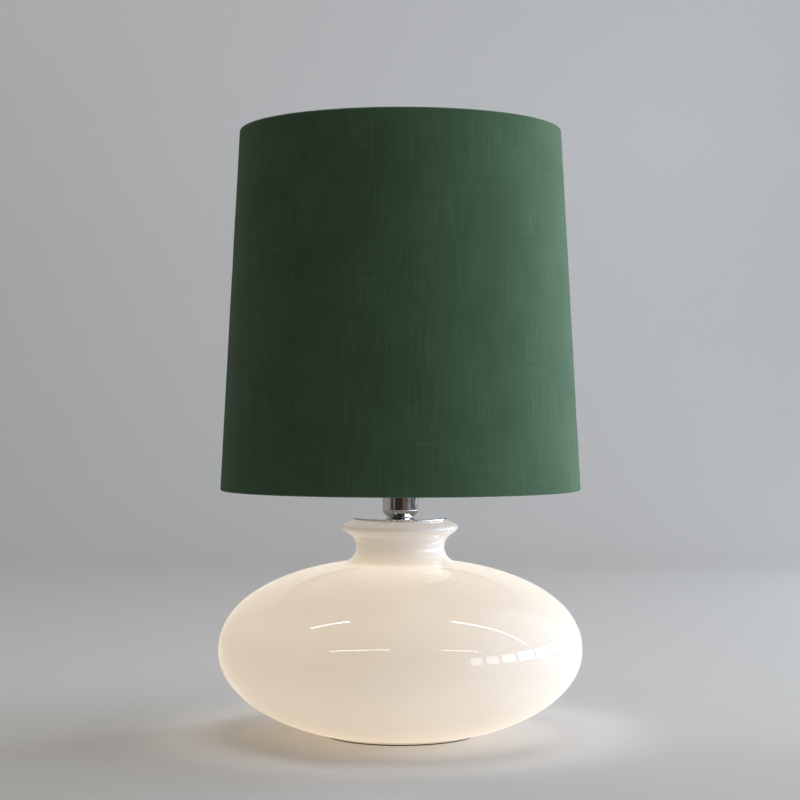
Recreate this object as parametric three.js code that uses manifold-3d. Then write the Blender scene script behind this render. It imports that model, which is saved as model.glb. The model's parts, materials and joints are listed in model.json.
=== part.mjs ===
// Table lamp: a blown opal-glass body that is lit from inside, a chromed cap with a lampholder on it,
// and a tall tapered fabric shade on a wire frame.
// Millimetres, +Z up. The origin is the centre of the felt foot, on the surface the lamp stands on.
// Every turned piece is coaxial with Z.

import * as THREE from "three";
import { mergeVertices } from "three/addons/utils/BufferGeometryUtils.js";
import Module from "manifold-3d";

const wasm = await Module();
wasm.setup();

// ---------------------------------------------------------------- driving dimensions

const GAP = 0.3; // between pieces that touch
const BIG_SIDES = 48; // facets round a large turned piece
const SMALL_SIDES = 24; // facets round a small one
const WIRE_SIDES = 8; // facets round a wire

// Felt foot and glass body
const FELT = { thick: 1.2, inner: 58, outer: 84 };
const GLASS = {
  halfWidth: 202.6, // at the widest
  widestZ: 94,
  above: { reach: 100.4, power: 2.15 }, // height of the upper curve if it ran on to the axis;
  below: { reach: 100.8, power: 2.04 }, // a power of 2 would be a true ellipse
  wall: 4.5,
  footRadius: 85.5,
  kick: { height: 4, radius: 50 }, // the middle of the underside is pushed up
};
const NECK = {
  arcRadius: 17, // of the concave throat
  arcCentre: [66, 207.4],
  wall: 5,
  lipRadius: 3.6,
  lipCentre: [60.9, 229.4],
  topZ: 237.2,
  topOuter: 54,
  topRound: 2,
  topInner: 46.5,
};
const GROMMET = { z: 40, hole: 6, flange: 8.5, bore: 3.75, stand: 1.2, lip: 2.2 };

// Cap and everything that hangs from it
const CAP = { radius: 52.3, thick: 2.8, hole: 5.4 };
const TUBE = { outer: 5, inner: 3.6, bottomZ: 160.5, topZ: 250 };
const NUT = { acrossFlats: 14, thick: 4, bore: 5.35 };
const SPRING = {
  thick: 0.9,
  hub: 14,
  width: 11,
  arms: 3,
  bend: 34, // where an arm turns down
  belly: { radius: 43.2, z: 205 }, // where it presses on the throat
  toe: { radius: 38, z: 192 },
};
const WASHER = { radius: 10.5, thick: 1 };
const WIRE = { radius: 1.1, apart: 1.55 };

// Upper lampholder, for a bulb with a 27 mm screw cap
const HOLDER = {
  radius: 20,
  wall: 1,
  seat: 13.7, // radius of the small end that stands on the cap
  chamferZ: 5.7, // above the small end
  height: 42,
  threadRadius: 19.75, // of the collar that the shade rings run on
  collarInner: 17.2,
  collarTop: 22, // above the cup
  collarSkirt: 12, // below the cup's rim
};
const HOLDER_BLOCK = { radius: 16.6, lowZ: 11, highZ: 25 }; // heights above the cup's end
const HOLDER_THREAD = { inner: 13.6, outer: 14.2, belowTop: 6 };
const CONTACT = { thick: 0.6, rise: 1.9, width: 4 };
const SHADE_RING = { inner: 20.1, outer: 28.5, thick: 4 };
const SCREW = { head: 2.7, headThick: 1.6, shank: 1.6, length: 3.7, fromAxis: 11.5 };
const BULB = { capRadius: 13.2, capLength: 24, length: 105, radius: 30 };

// Inner lampholder, for a bulb with a 14 mm screw cap, mouth down
const INNER = { radius: 13.4, wall: 1.6, stem: 8.6, topZ: 174, mouthZ: 118, screwFromAxis: 7 };
const INNER_BLOCK = { inner: 3.25, outer: 11, low: 146, high: 155 };
const INNER_THREAD = { inner: 7.3, outer: 7.8, low: 121 };
const SMALL_BULB = { capRadius: 6.9, capLength: 18, length: 78, radius: 22.5, tipZ: 143.4 };

// Shade
const SHADE = {
  bottomZ: 270.8,
  height: 400,
  bottomRadius: 200.6,
  topRadius: 179,
  fabric: 0.7,
  liner: 0.6,
  hem: 12, // how far the cloth turns in at each rim
  wire: 1.5, // radius of the ring wires
  arms: 3,
};
const HUB = { inner: 20.4, outer: 29, thick: 2 };

// ---------------------------------------------------------------- helpers

const radians = THREE.MathUtils.degToRad;

// Points on an arc in the (radius, height) plane. Angle 0 points outwards and 90 points up.
function arc(centre, radius, from, to, steps) {
  return Array.from({ length: steps + 1 }, (_, i) => {
    const angle = radians(from + ((to - from) * i) / steps);
    return [centre[0] + radius * Math.cos(angle), centre[1] + radius * Math.sin(angle)];
  });
}

// A closed [radius, height] outline turned about Z.
function turned(outline, sides = SMALL_SIDES) {
  const points = outline.map(([r, z]) => new THREE.Vector2(r, z));
  if (outline.some(([r]) => r > 0) && !outline.some(([r]) => r === 0)) points.push(points[0].clone());
  if (THREE.ShapeUtils.area(points) < 0) points.reverse();
  return new THREE.LatheGeometry(points, sides).rotateX(Math.PI / 2);
}

// A ring or plain bush with square edges.
function bush(inner, outer, low, high, sides = SMALL_SIDES) {
  return turned([[inner, low], [outer, low], [outer, high], [inner, high]], sides);
}

// A round disc or rod on the axis.
function rod(radius, low, high, sides = SMALL_SIDES) {
  return turned([[0, low], [radius, low], [radius, high], [0, high]], sides);
}

// A hexagon nut with its bore.
function hexNut(low) {
  const corner = NUT.acrossFlats / Math.sqrt(3);
  const shape = new THREE.Shape();
  for (let i = 0; i < 6; i++) {
    const angle = (i * Math.PI) / 3;
    shape[i ? "lineTo" : "moveTo"](corner * Math.cos(angle), corner * Math.sin(angle));
  }
  shape.closePath();
  shape.holes.push(new THREE.Path().absarc(0, 0, NUT.bore, 0, 2 * Math.PI, true));
  return new THREE.ExtrudeGeometry(shape, { depth: NUT.thick, bevelEnabled: false, curveSegments: 10 })
    .translate(0, 0, low);
}

// A round wire along a path of points.
function wire(points, radius, steps = 1, sides = WIRE_SIDES) {
  const route = points.length > 2
    ? new THREE.CatmullRomCurve3(points.map((p) => new THREE.Vector3(...p)), false, "centripetal")
    : new THREE.LineCurve3(...points.map((p) => new THREE.Vector3(...p)));
  const section = new THREE.Shape();
  for (let i = 0; i < sides; i++) {
    const angle = (2 * Math.PI * i) / sides;
    section[i ? "lineTo" : "moveTo"](radius * Math.cos(angle), radius * Math.sin(angle));
  }
  section.closePath();
  return new THREE.ExtrudeGeometry(section, { extrudePath: route, steps, bevelEnabled: false });
}

// A ring of round wire, centred on the axis.
function wireRing(ringRadius, z, radius) {
  return turned(arc([ringRadius, z], radius, 0, 360, WIRE_SIDES).slice(0, -1), BIG_SIDES);
}

function solid(geometry) {
  const bare = geometry.clone();
  for (const name of ["normal", "uv"]) bare.deleteAttribute(name);
  const merged = mergeVertices(bare, 1e-4);
  return new wasm.Manifold(
    new wasm.Mesh({
      numProp: 3,
      vertProperties: new Float32Array(merged.attributes.position.array),
      triVerts: new Uint32Array(merged.index.array),
    }),
  );
}

function geometryOf(made) {
  const { vertProperties, triVerts } = made.getMesh();
  return new THREE.BufferGeometry()
    .setAttribute("position", new THREE.BufferAttribute(new Float32Array(vertProperties), 3))
    .setIndex(new THREE.BufferAttribute(new Uint32Array(triVerts), 1));
}

// ---------------------------------------------------------------- materials

const paint = (color, roughness, metalness = 0) =>
  new THREE.MeshStandardMaterial({ color, roughness, metalness });

const MATERIALS = {
  opalGlass: paint(0xf4efe6, 0.12),
  felt: paint(0x4a3425, 0.95),
  rubber: paint(0x23211f, 0.7),
  chrome: paint(0xc9ccd0, 0.08, 1),
  steel: paint(0xa9abad, 0.35, 1),
  springSteel: paint(0x7c7f84, 0.3, 1),
  brass: paint(0xb8954e, 0.3, 1),
  porcelain: paint(0xeeeae0, 0.3),
  plastic: paint(0xe9e4d8, 0.4),
  frostedGlass: paint(0xf7f3ea, 0.5),
  vitrite: paint(0x1c1a20, 0.2),
  solder: paint(0xb5b6b8, 0.4, 1),
  liveWire: paint(0x6b3f22, 0.5),
  neutralWire: paint(0x2f62a6, 0.5),
  shadeCloth: paint(0x2f5a40, 0.9),
  shadeLiner: paint(0xf2efe8, 0.6),
  whiteWire: paint(0xe6e4de, 0.45),
};

// ---------------------------------------------------------------- glass body

// Radius of the rounded body at a height, for the outer wall or one set in from it.
function bodyRadius(z, inset = 0) {
  const { reach, power } = z < GLASS.widestZ ? GLASS.below : GLASS.above;
  const share = Math.min(1, Math.abs(z - GLASS.widestZ) / (reach - inset));
  return (GLASS.halfWidth - inset) * (1 - share ** power) ** (1 / power);
}

// Points up the rounded wall between two heights, close together where it turns quickly.
function bodyWall(low, high, inset, steps) {
  const reachOf = (side) => (side < 0 ? GLASS.below.reach : GLASS.above.reach) - inset;
  const angleAt = (z) => Math.asin((z - GLASS.widestZ) / reachOf(z - GLASS.widestZ));
  return Array.from({ length: steps + 1 }, (_, i) => {
    const angle = THREE.MathUtils.lerp(angleAt(low), angleAt(high), i / steps);
    const z = GLASS.widestZ + reachOf(angle) * Math.sin(angle);
    return [bodyRadius(z, inset), z];
  });
}

// The outward normal of the wall at a height, as an angle above the horizontal in radians.
function bodySlope(z) {
  const step = 0.01;
  return Math.atan2(bodyRadius(z - step) - bodyRadius(z + step), 2 * step);
}

function glassBody() {
  const { arcCentre: throat, arcRadius, topZ, topOuter, topRound, topInner } = NECK;
  const { height, radius } = GLASS.kick;
  const under = FELT.thick + GAP;
  const floor = under + GLASS.wall;
  const inside = arcRadius + NECK.wall;
  const shoulder = 261; // the angle on the throat's arc where it leaves the shoulder
  const arcZ = (reach) => throat[1] + reach * Math.sin(radians(shoulder));
  const outline = [
    [0, under + height],
    [radius, under + 0.75 * height],
    [FELT.inner - 1, under],
    [GLASS.footRadius, under],
    ...bodyWall(under + 1, arcZ(arcRadius), 0, 20),
    ...arc(throat, arcRadius, shoulder, 110, 8).slice(1),
    ...arc(NECK.lipCentre, NECK.lipRadius, -55, 62, 4),
    ...arc([topOuter - topRound, topZ - topRound], topRound, 65, 90, 2),
    [topInner, topZ],
    ...arc(throat, inside, 176, shoulder, 5),
    ...bodyWall(floor + 2, arcZ(inside), GLASS.wall, 14).reverse().slice(1),
    [GLASS.footRadius - GLASS.wall, floor],
    [radius, floor + 0.75 * height],
    [0, floor + height],
  ];
  const body = solid(turned(outline, BIG_SIDES));
  const drill = solid(onBackWall(rod(GROMMET.hole, -20, 20, 16)));
  return geometryOf(body.subtract(drill));
}

// Takes a piece turned about Z to the back wall, where Z becomes the wall's outward normal.
function onBackWall(geometry) {
  const slope = bodySlope(GROMMET.z);
  return geometry
    .rotateX(-Math.PI / 2 + slope)
    .translate(0, bodyRadius(GROMMET.z), GROMMET.z);
}

function cordGrommet() {
  const groove = GROMMET.hole - GAP;
  const inner = -GLASS.wall - GROMMET.stand;
  return onBackWall(
    turned([
      [GROMMET.bore, inner - GROMMET.lip],
      [GROMMET.flange - 0.6, inner - GROMMET.lip],
      [GROMMET.flange - 0.6, inner],
      [groove, inner],
      [groove, GROMMET.stand],
      [GROMMET.flange, GROMMET.stand],
      [GROMMET.flange, GROMMET.stand + GROMMET.lip * 0.6],
      [GROMMET.flange - 1.5, GROMMET.stand + GROMMET.lip],
      [GROMMET.bore, GROMMET.stand + GROMMET.lip],
    ], 20),
  );
}

// ---------------------------------------------------------------- cap

const CAP_LOW = NECK.topZ + GAP;
const CAP_TOP = CAP_LOW + CAP.thick;
const SPRING_TOP = CAP_LOW - GAP;

// A plain disc with a half-round edge.
function capPlate() {
  const edge = CAP.thick / 2;
  return turned([
    [CAP.hole, CAP_LOW],
    ...arc([CAP.radius - edge, CAP_LOW + edge], edge, -90, 90, 6),
    [CAP.hole, CAP_TOP],
  ], BIG_SIDES);
}

// One leaf of the spring: out under the cap, down the throat and in at its toe.
function springArm(angle) {
  const { thick, hub, width, bend, belly, toe } = SPRING;
  const outer = [
    [hub - 2, SPRING_TOP],
    [bend, SPRING_TOP],
    [bend + 3, SPRING_TOP - 3],
    [belly.radius, belly.z],
    [toe.radius, toe.z],
  ];
  const inner = [
    [toe.radius - thick, toe.z],
    [belly.radius - thick, belly.z],
    [bend + 3 - thick, SPRING_TOP - 3.5],
    [bend - 0.5, SPRING_TOP - thick],
    [hub - 2, SPRING_TOP - thick],
  ];
  const shape = new THREE.Shape([...outer, ...inner].map(([r, z]) => new THREE.Vector2(r, z)));
  return new THREE.ExtrudeGeometry(shape, { depth: width, bevelEnabled: false })
    .rotateX(Math.PI / 2)
    .translate(0, width / 2, 0)
    .rotateZ(angle);
}

function neckSpring() {
  let made = solid(bush(CAP.hole, SPRING.hub, SPRING_TOP - SPRING.thick, SPRING_TOP));
  for (let i = 0; i < SPRING.arms; i++)
    made = made.add(solid(springArm((2 * Math.PI * i) / SPRING.arms)));
  return geometryOf(made);
}

// ---------------------------------------------------------------- upper lampholder

const CUP_BOTTOM = CAP_TOP + GAP;
const CUP_TOP = CUP_BOTTOM + HOLDER.height;
const COLLAR_TOP = CUP_TOP + HOLDER.collarTop;
const BLOCK_LOW = CUP_BOTTOM + HOLDER_BLOCK.lowZ;
const BLOCK_HIGH = CUP_BOTTOM + HOLDER_BLOCK.highZ;
const BULB_TIP = BLOCK_HIGH + 3; // clear of the centre contact

function lampholderCup() {
  const { radius, wall, seat, chamferZ } = HOLDER;
  return turned([
    [CAP.hole, CUP_BOTTOM],
    [seat, CUP_BOTTOM],
    [seat + 0.8, CUP_BOTTOM + 0.4],
    [radius - 0.7, CUP_BOTTOM + chamferZ - 0.8],
    [radius, CUP_BOTTOM + chamferZ + 0.8],
    [radius, CUP_TOP],
    [radius - wall, CUP_TOP],
    [radius - wall, CUP_BOTTOM + chamferZ + 1],
    [seat - 0.4, CUP_BOTTOM + wall],
    [CAP.hole, CUP_BOTTOM + wall],
  ], 32);
}

// Screws into the cup, and carries the outside thread for the shade rings.
function lampholderCollar() {
  const skirt = HOLDER.radius - HOLDER.wall - GAP;
  return turned([
    [HOLDER.collarInner, CUP_TOP - HOLDER.collarSkirt],
    [skirt, CUP_TOP - HOLDER.collarSkirt],
    [skirt, CUP_TOP + GAP],
    [HOLDER.threadRadius, CUP_TOP + GAP],
    [HOLDER.threadRadius, COLLAR_TOP - 1],
    [HOLDER.threadRadius - 1, COLLAR_TOP],
    [HOLDER.collarInner - 0.6, COLLAR_TOP],
    [HOLDER.collarInner - 0.6, COLLAR_TOP - 1.5],
    [HOLDER.collarInner, COLLAR_TOP - 1.5],
  ], 32);
}

function shadeRing(low) {
  const { inner, outer, thick } = SHADE_RING;
  return turned([
    [inner, low],
    [outer - 0.6, low],
    [outer, low + 0.6],
    [outer, low + thick - 0.6],
    [outer - 0.6, low + thick],
    [inner, low + thick],
  ], 32);
}

// A cheese-head screw whose shank ends just short of the block, on either side of the axis. The head
// points down under the upper block (away = -1) and up over the inner one (away = 1).
function terminalScrew(x, face, away) {
  const { head, headThick, shank, length } = SCREW;
  return turned([
    [0, face + away * GAP],
    [shank, face + away * GAP],
    [shank, face + away * (length - headThick)],
    [head, face + away * (length - headThick)],
    [head, face + away * length],
    [0, face + away * length],
  ], 12).translate(x, 0, 0);
}

// A flat brass tongue on the block's face that springs up against the bulb's tip.
function centreContact(z, up, reach) {
  const { thick, rise, width } = CONTACT;
  const tongue = reach * 0.45;
  const outline = [
    [-reach, 0],
    [reach, 0],
    [reach, thick],
    [tongue, rise],
    [-tongue, rise],
    [-reach, thick],
  ];
  const shape = new THREE.Shape(outline.map(([x, y]) => new THREE.Vector2(x, y * up)));
  return new THREE.ExtrudeGeometry(shape, { depth: width, bevelEnabled: false })
    .rotateX(Math.PI / 2)
    .translate(0, width / 2, z);
}

// ---------------------------------------------------------------- bulbs

// A bulb's pieces, as outlines measured from its tip along its own length. place turns such a
// length into a height, so that either way up can be made.
function bulbPieces({ capRadius, capLength, length, radius }, place) {
  const tip = capRadius * 0.36;
  const shoulder = capRadius * 0.72;
  const capLow = 2.6;
  const capHigh = capLow + capLength;
  const neck = capRadius - 0.9;
  const centre = length - radius;
  const wall = 0.8;
  const join = -42; // where the neck's line meets the round part, in degrees
  const sideways = [radius * Math.cos(radians(join)), centre + radius * Math.sin(radians(join))];
  const mid = [neck + (sideways[0] - neck) * 0.42, capHigh + (sideways[1] - capHigh) * 0.55];
  const parts = {
    contact: [[0, 0], [tip * 0.8, 0.1], [tip, 0.9], [tip, 1.2], [0, 1.2]],
    insulator: [[0, 1.4], [tip + 0.6, 1.4], [shoulder, 2.4], [shoulder, capLow + 1.2], [0, capLow + 1.2]],
    cap: [
      [shoulder + GAP, capLow],
      [capRadius - 0.6, capLow + 0.6],
      [capRadius, capLow + 1.6],
      [capRadius, capHigh - 1],
      [capRadius - 0.2, capHigh],
      [capRadius - 0.5, capHigh],
      [capRadius - 0.5, capLow + 1.9],
      [shoulder + GAP, capLow + 1.1],
    ],
    glass: [
      [0, length],
      ...arc([0, centre], radius, 90, join, 8).slice(1),
      mid,
      [neck, capHigh + 0.6],
      [neck, capHigh - 4],
      [neck - wall, capHigh - 4],
      [neck - wall, capHigh + 0.6],
      [mid[0] - wall, mid[1]],
      ...arc([0, centre], radius - wall, join, 90, 8).slice(0, -1),
      [0, length - wall],
    ],
  };
  return Object.fromEntries(
    Object.entries(parts).map(([name, outline]) => [name, turned(outline.map(([r, z]) => [r, place(z)]))]),
  );
}

// ---------------------------------------------------------------- inner lampholder

function innerHolderSleeve() {
  const { radius, wall, stem, topZ, mouthZ } = INNER;
  return turned([
    [CAP.hole, topZ],
    [stem - 0.6, topZ],
    [stem, topZ - 0.6],
    [stem, topZ - 7],
    [radius, topZ - 12],
    [radius, mouthZ],
    [radius - wall, mouthZ],
    [radius - wall, topZ - 13],
    [stem - wall, topZ - 8],
    [CAP.hole, topZ - 8],
  ], 28);
}

// ---------------------------------------------------------------- shade

function shadeRadius(z) {
  const share = (z - SHADE.bottomZ) / SHADE.height;
  return SHADE.bottomRadius + (SHADE.topRadius - SHADE.bottomRadius) * share;
}

const SHADE_TOP = SHADE.bottomZ + SHADE.height;
const LINER_IN = SHADE.fabric + GAP + SHADE.liner; // from the cloth's face to the liner's
const RING_IN = LINER_IN + GAP + SHADE.wire;
const HEM_IN = RING_IN + SHADE.wire + GAP;
const RING_FROM_RIM = SHADE.fabric + GAP + SHADE.wire;

const LOWER_RING_LOW = CUP_TOP + GAP + 1;
const HUB_LOW = LOWER_RING_LOW + SHADE_RING.thick + GAP;
const UPPER_RING_LOW = HUB_LOW + HUB.thick + GAP;
const bottomRingZ = SHADE.bottomZ + RING_FROM_RIM;
const topRingZ = SHADE_TOP - RING_FROM_RIM;
const ringRadius = (z) => shadeRadius(z) - RING_IN;

// A straight wire between two radii on the line from the hub to the bottom ring. The ring end is a
// little above the ring's middle, clear of the cloth's fold.
function alongArm(from, to, thick) {
  const [hubZ, ringZ] = [HUB_LOW + HUB.thick / 2, bottomRingZ + 0.5];
  const share = (r) => (r - HUB.outer) / (ringRadius(bottomRingZ) - HUB.outer);
  const at = (r) => [r, 0, THREE.MathUtils.lerp(hubZ, ringZ, share(r))];
  return wire([at(from), at(to)], thick);
}

// The first arm stands a quarter of the spacing round from the right.
const armSpacing = (2 * Math.PI) / SHADE.arms;
const armAngles = Array.from({ length: SHADE.arms }, (_, i) => (i + 0.25) * armSpacing);

function spiderArm(angle) {
  const ringSide = ringRadius(bottomRingZ) - SHADE.wire - GAP;
  return alongArm(HUB.outer + GAP, ringSide, SHADE.wire).rotateZ(angle);
}

// The cloth runs up the outside and turns in over the ring at each rim. The lower turn is snipped
// round each arm.
function shadeFabric() {
  const { bottomZ, fabric, hem, wire: wireRadius } = SHADE;
  const face = (z, inset) => [shadeRadius(z) - inset, z];
  let cloth = solid(turned([
    face(bottomZ + 0.8, 0),
    face(SHADE_TOP - 0.8, 0),
    face(SHADE_TOP, 0.8),
    face(SHADE_TOP, HEM_IN),
    face(SHADE_TOP - 0.8, HEM_IN + fabric),
    face(SHADE_TOP - hem, HEM_IN + fabric),
    face(SHADE_TOP - hem, HEM_IN),
    face(SHADE_TOP - fabric, HEM_IN),
    face(SHADE_TOP - fabric, fabric),
    face(bottomZ + fabric, fabric),
    face(bottomZ + fabric, HEM_IN),
    face(bottomZ + hem, HEM_IN),
    face(bottomZ + hem, HEM_IN + fabric),
    face(bottomZ + 0.8, HEM_IN + fabric),
    face(bottomZ, HEM_IN),
    face(bottomZ, 0.8),
  ], BIG_SIDES));
  const hemRadius = shadeRadius(bottomZ) - HEM_IN;
  for (const angle of armAngles) {
    const snip = alongArm(hemRadius - 4, hemRadius + 1, wireRadius + GAP).rotateZ(angle);
    cloth = cloth.subtract(solid(snip));
  }
  return geometryOf(cloth);
}

function shadeLiner() {
  const low = SHADE.bottomZ + SHADE.fabric + GAP;
  const high = SHADE_TOP - SHADE.fabric - GAP;
  const outer = SHADE.fabric + GAP;
  return turned([
    [shadeRadius(low) - outer, low],
    [shadeRadius(high) - outer, high],
    [shadeRadius(high) - LINER_IN, high],
    [shadeRadius(low) - LINER_IN, low],
  ], BIG_SIDES);
}

// ---------------------------------------------------------------- assembly

const lamp = new THREE.Group();

function add(name, geometry, material) {
  const mesh = new THREE.Mesh(geometry, material);
  mesh.name = name;
  lamp.add(mesh);
}

// Glass base
add("felt_foot", bush(FELT.inner, FELT.outer, 0, FELT.thick, BIG_SIDES), MATERIALS.felt);
add("glass_body", glassBody(), MATERIALS.opalGlass);
add("cord_grommet", cordGrommet(), MATERIALS.rubber);

// Cap, tube and the inner lampholder
const washerTop = SPRING_TOP - SPRING.thick - GAP;
const nutLow = washerTop - WASHER.thick - GAP - NUT.thick;
add("cap_plate", capPlate(), MATERIALS.chrome);
add("neck_spring", neckSpring(), MATERIALS.springSteel);
add("lock_washer", bush(CAP.hole, WASHER.radius, washerTop - WASHER.thick, washerTop), MATERIALS.steel);
add("cap_nut", hexNut(nutLow), MATERIALS.steel);
add("threaded_tube", bush(TUBE.inner, TUBE.outer, TUBE.bottomZ, TUBE.topZ), MATERIALS.steel);
add("inner_holder_sleeve", innerHolderSleeve(), MATERIALS.plastic);
const { inner, outer, low, high } = INNER_BLOCK;
add("inner_holder_block", bush(inner, outer, low, high, 20), MATERIALS.porcelain);
add("inner_terminal_screw_1", terminalScrew(INNER.screwFromAxis, high, 1), MATERIALS.brass);
add("inner_terminal_screw_2", terminalScrew(-INNER.screwFromAxis, high, 1), MATERIALS.brass);
const innerThread = bush(INNER_THREAD.inner, INNER_THREAD.outer, INNER_THREAD.low, low - GAP);
add("inner_thread_shell", innerThread, MATERIALS.brass);
add("inner_centre_contact", centreContact(low - GAP, -1, 4.5), MATERIALS.brass);

// The two wires that join the lampholders, side by side in the tube
const linkWire = (x) => wire([[x, 0, high], [x, 0, BLOCK_LOW - GAP]], WIRE.radius);
add("link_wire_live", linkWire(WIRE.apart), MATERIALS.liveWire);
add("link_wire_neutral", linkWire(-WIRE.apart), MATERIALS.neutralWire);

// Upper lampholder
add("lampholder_cup", lampholderCup(), MATERIALS.chrome);
add("cup_nut", hexNut(CUP_BOTTOM + HOLDER.wall + GAP), MATERIALS.steel);
add("lampholder_block", rod(HOLDER_BLOCK.radius, BLOCK_LOW, BLOCK_HIGH), MATERIALS.porcelain);
add("terminal_screw_1", terminalScrew(SCREW.fromAxis, BLOCK_LOW, -1), MATERIALS.brass);
add("terminal_screw_2", terminalScrew(-SCREW.fromAxis, BLOCK_LOW, -1), MATERIALS.brass);
add("centre_contact", centreContact(BLOCK_HIGH + GAP, 1, 7), MATERIALS.brass);
const threadTop = COLLAR_TOP - HOLDER_THREAD.belowTop;
const upperThread = bush(HOLDER_THREAD.inner, HOLDER_THREAD.outer, BLOCK_HIGH + GAP, threadTop);
add("thread_shell", upperThread, MATERIALS.brass);
add("lampholder_collar", lampholderCollar(), MATERIALS.chrome);
add("shade_ring_lower", shadeRing(LOWER_RING_LOW), MATERIALS.chrome);
add("shade_ring_upper", shadeRing(UPPER_RING_LOW), MATERIALS.chrome);

// Bulbs: the upper one stands in its holder, the inner one hangs from its own
for (const [prefix, size, place] of [
  ["bulb", BULB, (z) => BULB_TIP + z],
  ["inner_bulb", SMALL_BULB, (z) => SMALL_BULB.tipZ - z],
]) {
  const made = bulbPieces(size, place);
  add(`${prefix}_contact`, made.contact, MATERIALS.solder);
  add(`${prefix}_insulator`, made.insulator, MATERIALS.vitrite);
  add(`${prefix}_cap`, made.cap, MATERIALS.steel);
  add(`${prefix}_glass`, made.glass, MATERIALS.frostedGlass);
}

// Shade
add("shade_fabric", shadeFabric(), MATERIALS.shadeCloth);
add("shade_liner", shadeLiner(), MATERIALS.shadeLiner);
add("top_ring", wireRing(ringRadius(topRingZ), topRingZ, SHADE.wire), MATERIALS.whiteWire);
add("bottom_ring", wireRing(ringRadius(bottomRingZ), bottomRingZ, SHADE.wire), MATERIALS.whiteWire);
add("spider_hub", bush(HUB.inner, HUB.outer, HUB_LOW, HUB_LOW + HUB.thick, 32), MATERIALS.whiteWire);
armAngles.forEach((angle, i) => add(`spider_arm_${i + 1}`, spiderArm(angle), MATERIALS.whiteWire));

export default lamp;
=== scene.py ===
"""The looks of the table lamp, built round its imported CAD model.

Metres and +Z up, as in the CAD; outlines are written in millimetres. The front faces -Y.
"""

import json
import math

import bpy
from mathutils import Matrix, Vector, kdtree, noise


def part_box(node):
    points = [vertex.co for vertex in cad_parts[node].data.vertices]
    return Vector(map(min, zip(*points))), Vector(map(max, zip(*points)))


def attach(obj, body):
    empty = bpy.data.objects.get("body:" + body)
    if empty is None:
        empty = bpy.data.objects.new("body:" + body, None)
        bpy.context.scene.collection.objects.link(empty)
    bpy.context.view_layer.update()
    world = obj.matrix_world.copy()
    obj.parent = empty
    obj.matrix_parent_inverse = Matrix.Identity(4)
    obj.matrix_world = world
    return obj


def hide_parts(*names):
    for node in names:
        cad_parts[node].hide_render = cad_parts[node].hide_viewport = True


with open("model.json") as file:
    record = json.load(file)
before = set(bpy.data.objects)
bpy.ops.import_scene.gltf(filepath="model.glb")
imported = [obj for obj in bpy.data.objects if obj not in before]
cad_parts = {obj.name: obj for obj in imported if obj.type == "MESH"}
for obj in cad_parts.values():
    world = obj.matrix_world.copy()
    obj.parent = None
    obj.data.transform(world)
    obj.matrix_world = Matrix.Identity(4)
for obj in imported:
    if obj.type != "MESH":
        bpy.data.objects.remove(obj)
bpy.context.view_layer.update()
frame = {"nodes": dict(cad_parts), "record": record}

MM = 0.001
TURN = 2 * math.pi
# The sockets of a Mix node that blends colours.
MIX_FACTOR, MIX_FIRST, MIX_SECOND, MIX_RESULT = 0, 6, 7, 2

# ---------------------------------------------------------------- camera, stage and light

CAMERA = {
    "distance": 2.122,  # in front of the lamp, in metres
    "height": 0.3568,
    "pitch": 0.39,  # degrees up
    "lens": 85.5,  # focal length in millimetres
    "aside": -0.00045,
}


def make_camera():
    camera = bpy.data.objects.new("camera", bpy.data.cameras.new("camera"))
    camera.data.lens = CAMERA["lens"]
    camera.data.sensor_width = 36
    camera.data.clip_start = 0.05
    camera.data.clip_end = 60
    camera.location = (CAMERA["aside"], -CAMERA["distance"], CAMERA["height"])
    camera.rotation_euler = (math.radians(90 + CAMERA["pitch"]), 0, 0)
    bpy.context.collection.objects.link(camera)
    bpy.context.scene.camera = camera


# Colours of the surroundings by azimuth, in degrees counted from the camera's side of the lamp
# towards the right: a dim room in front, and paler walls at the sides and behind.
SURROUNDINGS = [
    (-180, (0.30, 0.29, 0.28)),
    (-120, (0.34, 0.32, 0.30)),
    (-68, (0.24, 0.21, 0.18)),
    (-60, (0.035, 0.03, 0.03)),
    (-50, (0.035, 0.03, 0.03)),
    (-46, (0.16, 0.14, 0.125)),
    (-36, (0.14, 0.12, 0.105)),
    (-32, (0.03, 0.026, 0.022)),
    (12, (0.03, 0.026, 0.022)),
    (18, (0.15, 0.095, 0.055)),
    (46, (0.13, 0.08, 0.05)),
    (54, (0.20, 0.20, 0.21)),
    (68, (0.20, 0.20, 0.21)),
    (74, (0.05, 0.055, 0.06)),
    (110, (0.06, 0.065, 0.07)),
    (122, (0.55, 0.57, 0.60)),
    (180, (0.50, 0.51, 0.53)),
]
BACKDROP = (0.40, 0.395, 0.385, 1)  # where the camera sees past the floor
SCATTERED_SHARE = 0.45  # how much of the surroundings lights matt surfaces


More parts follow.
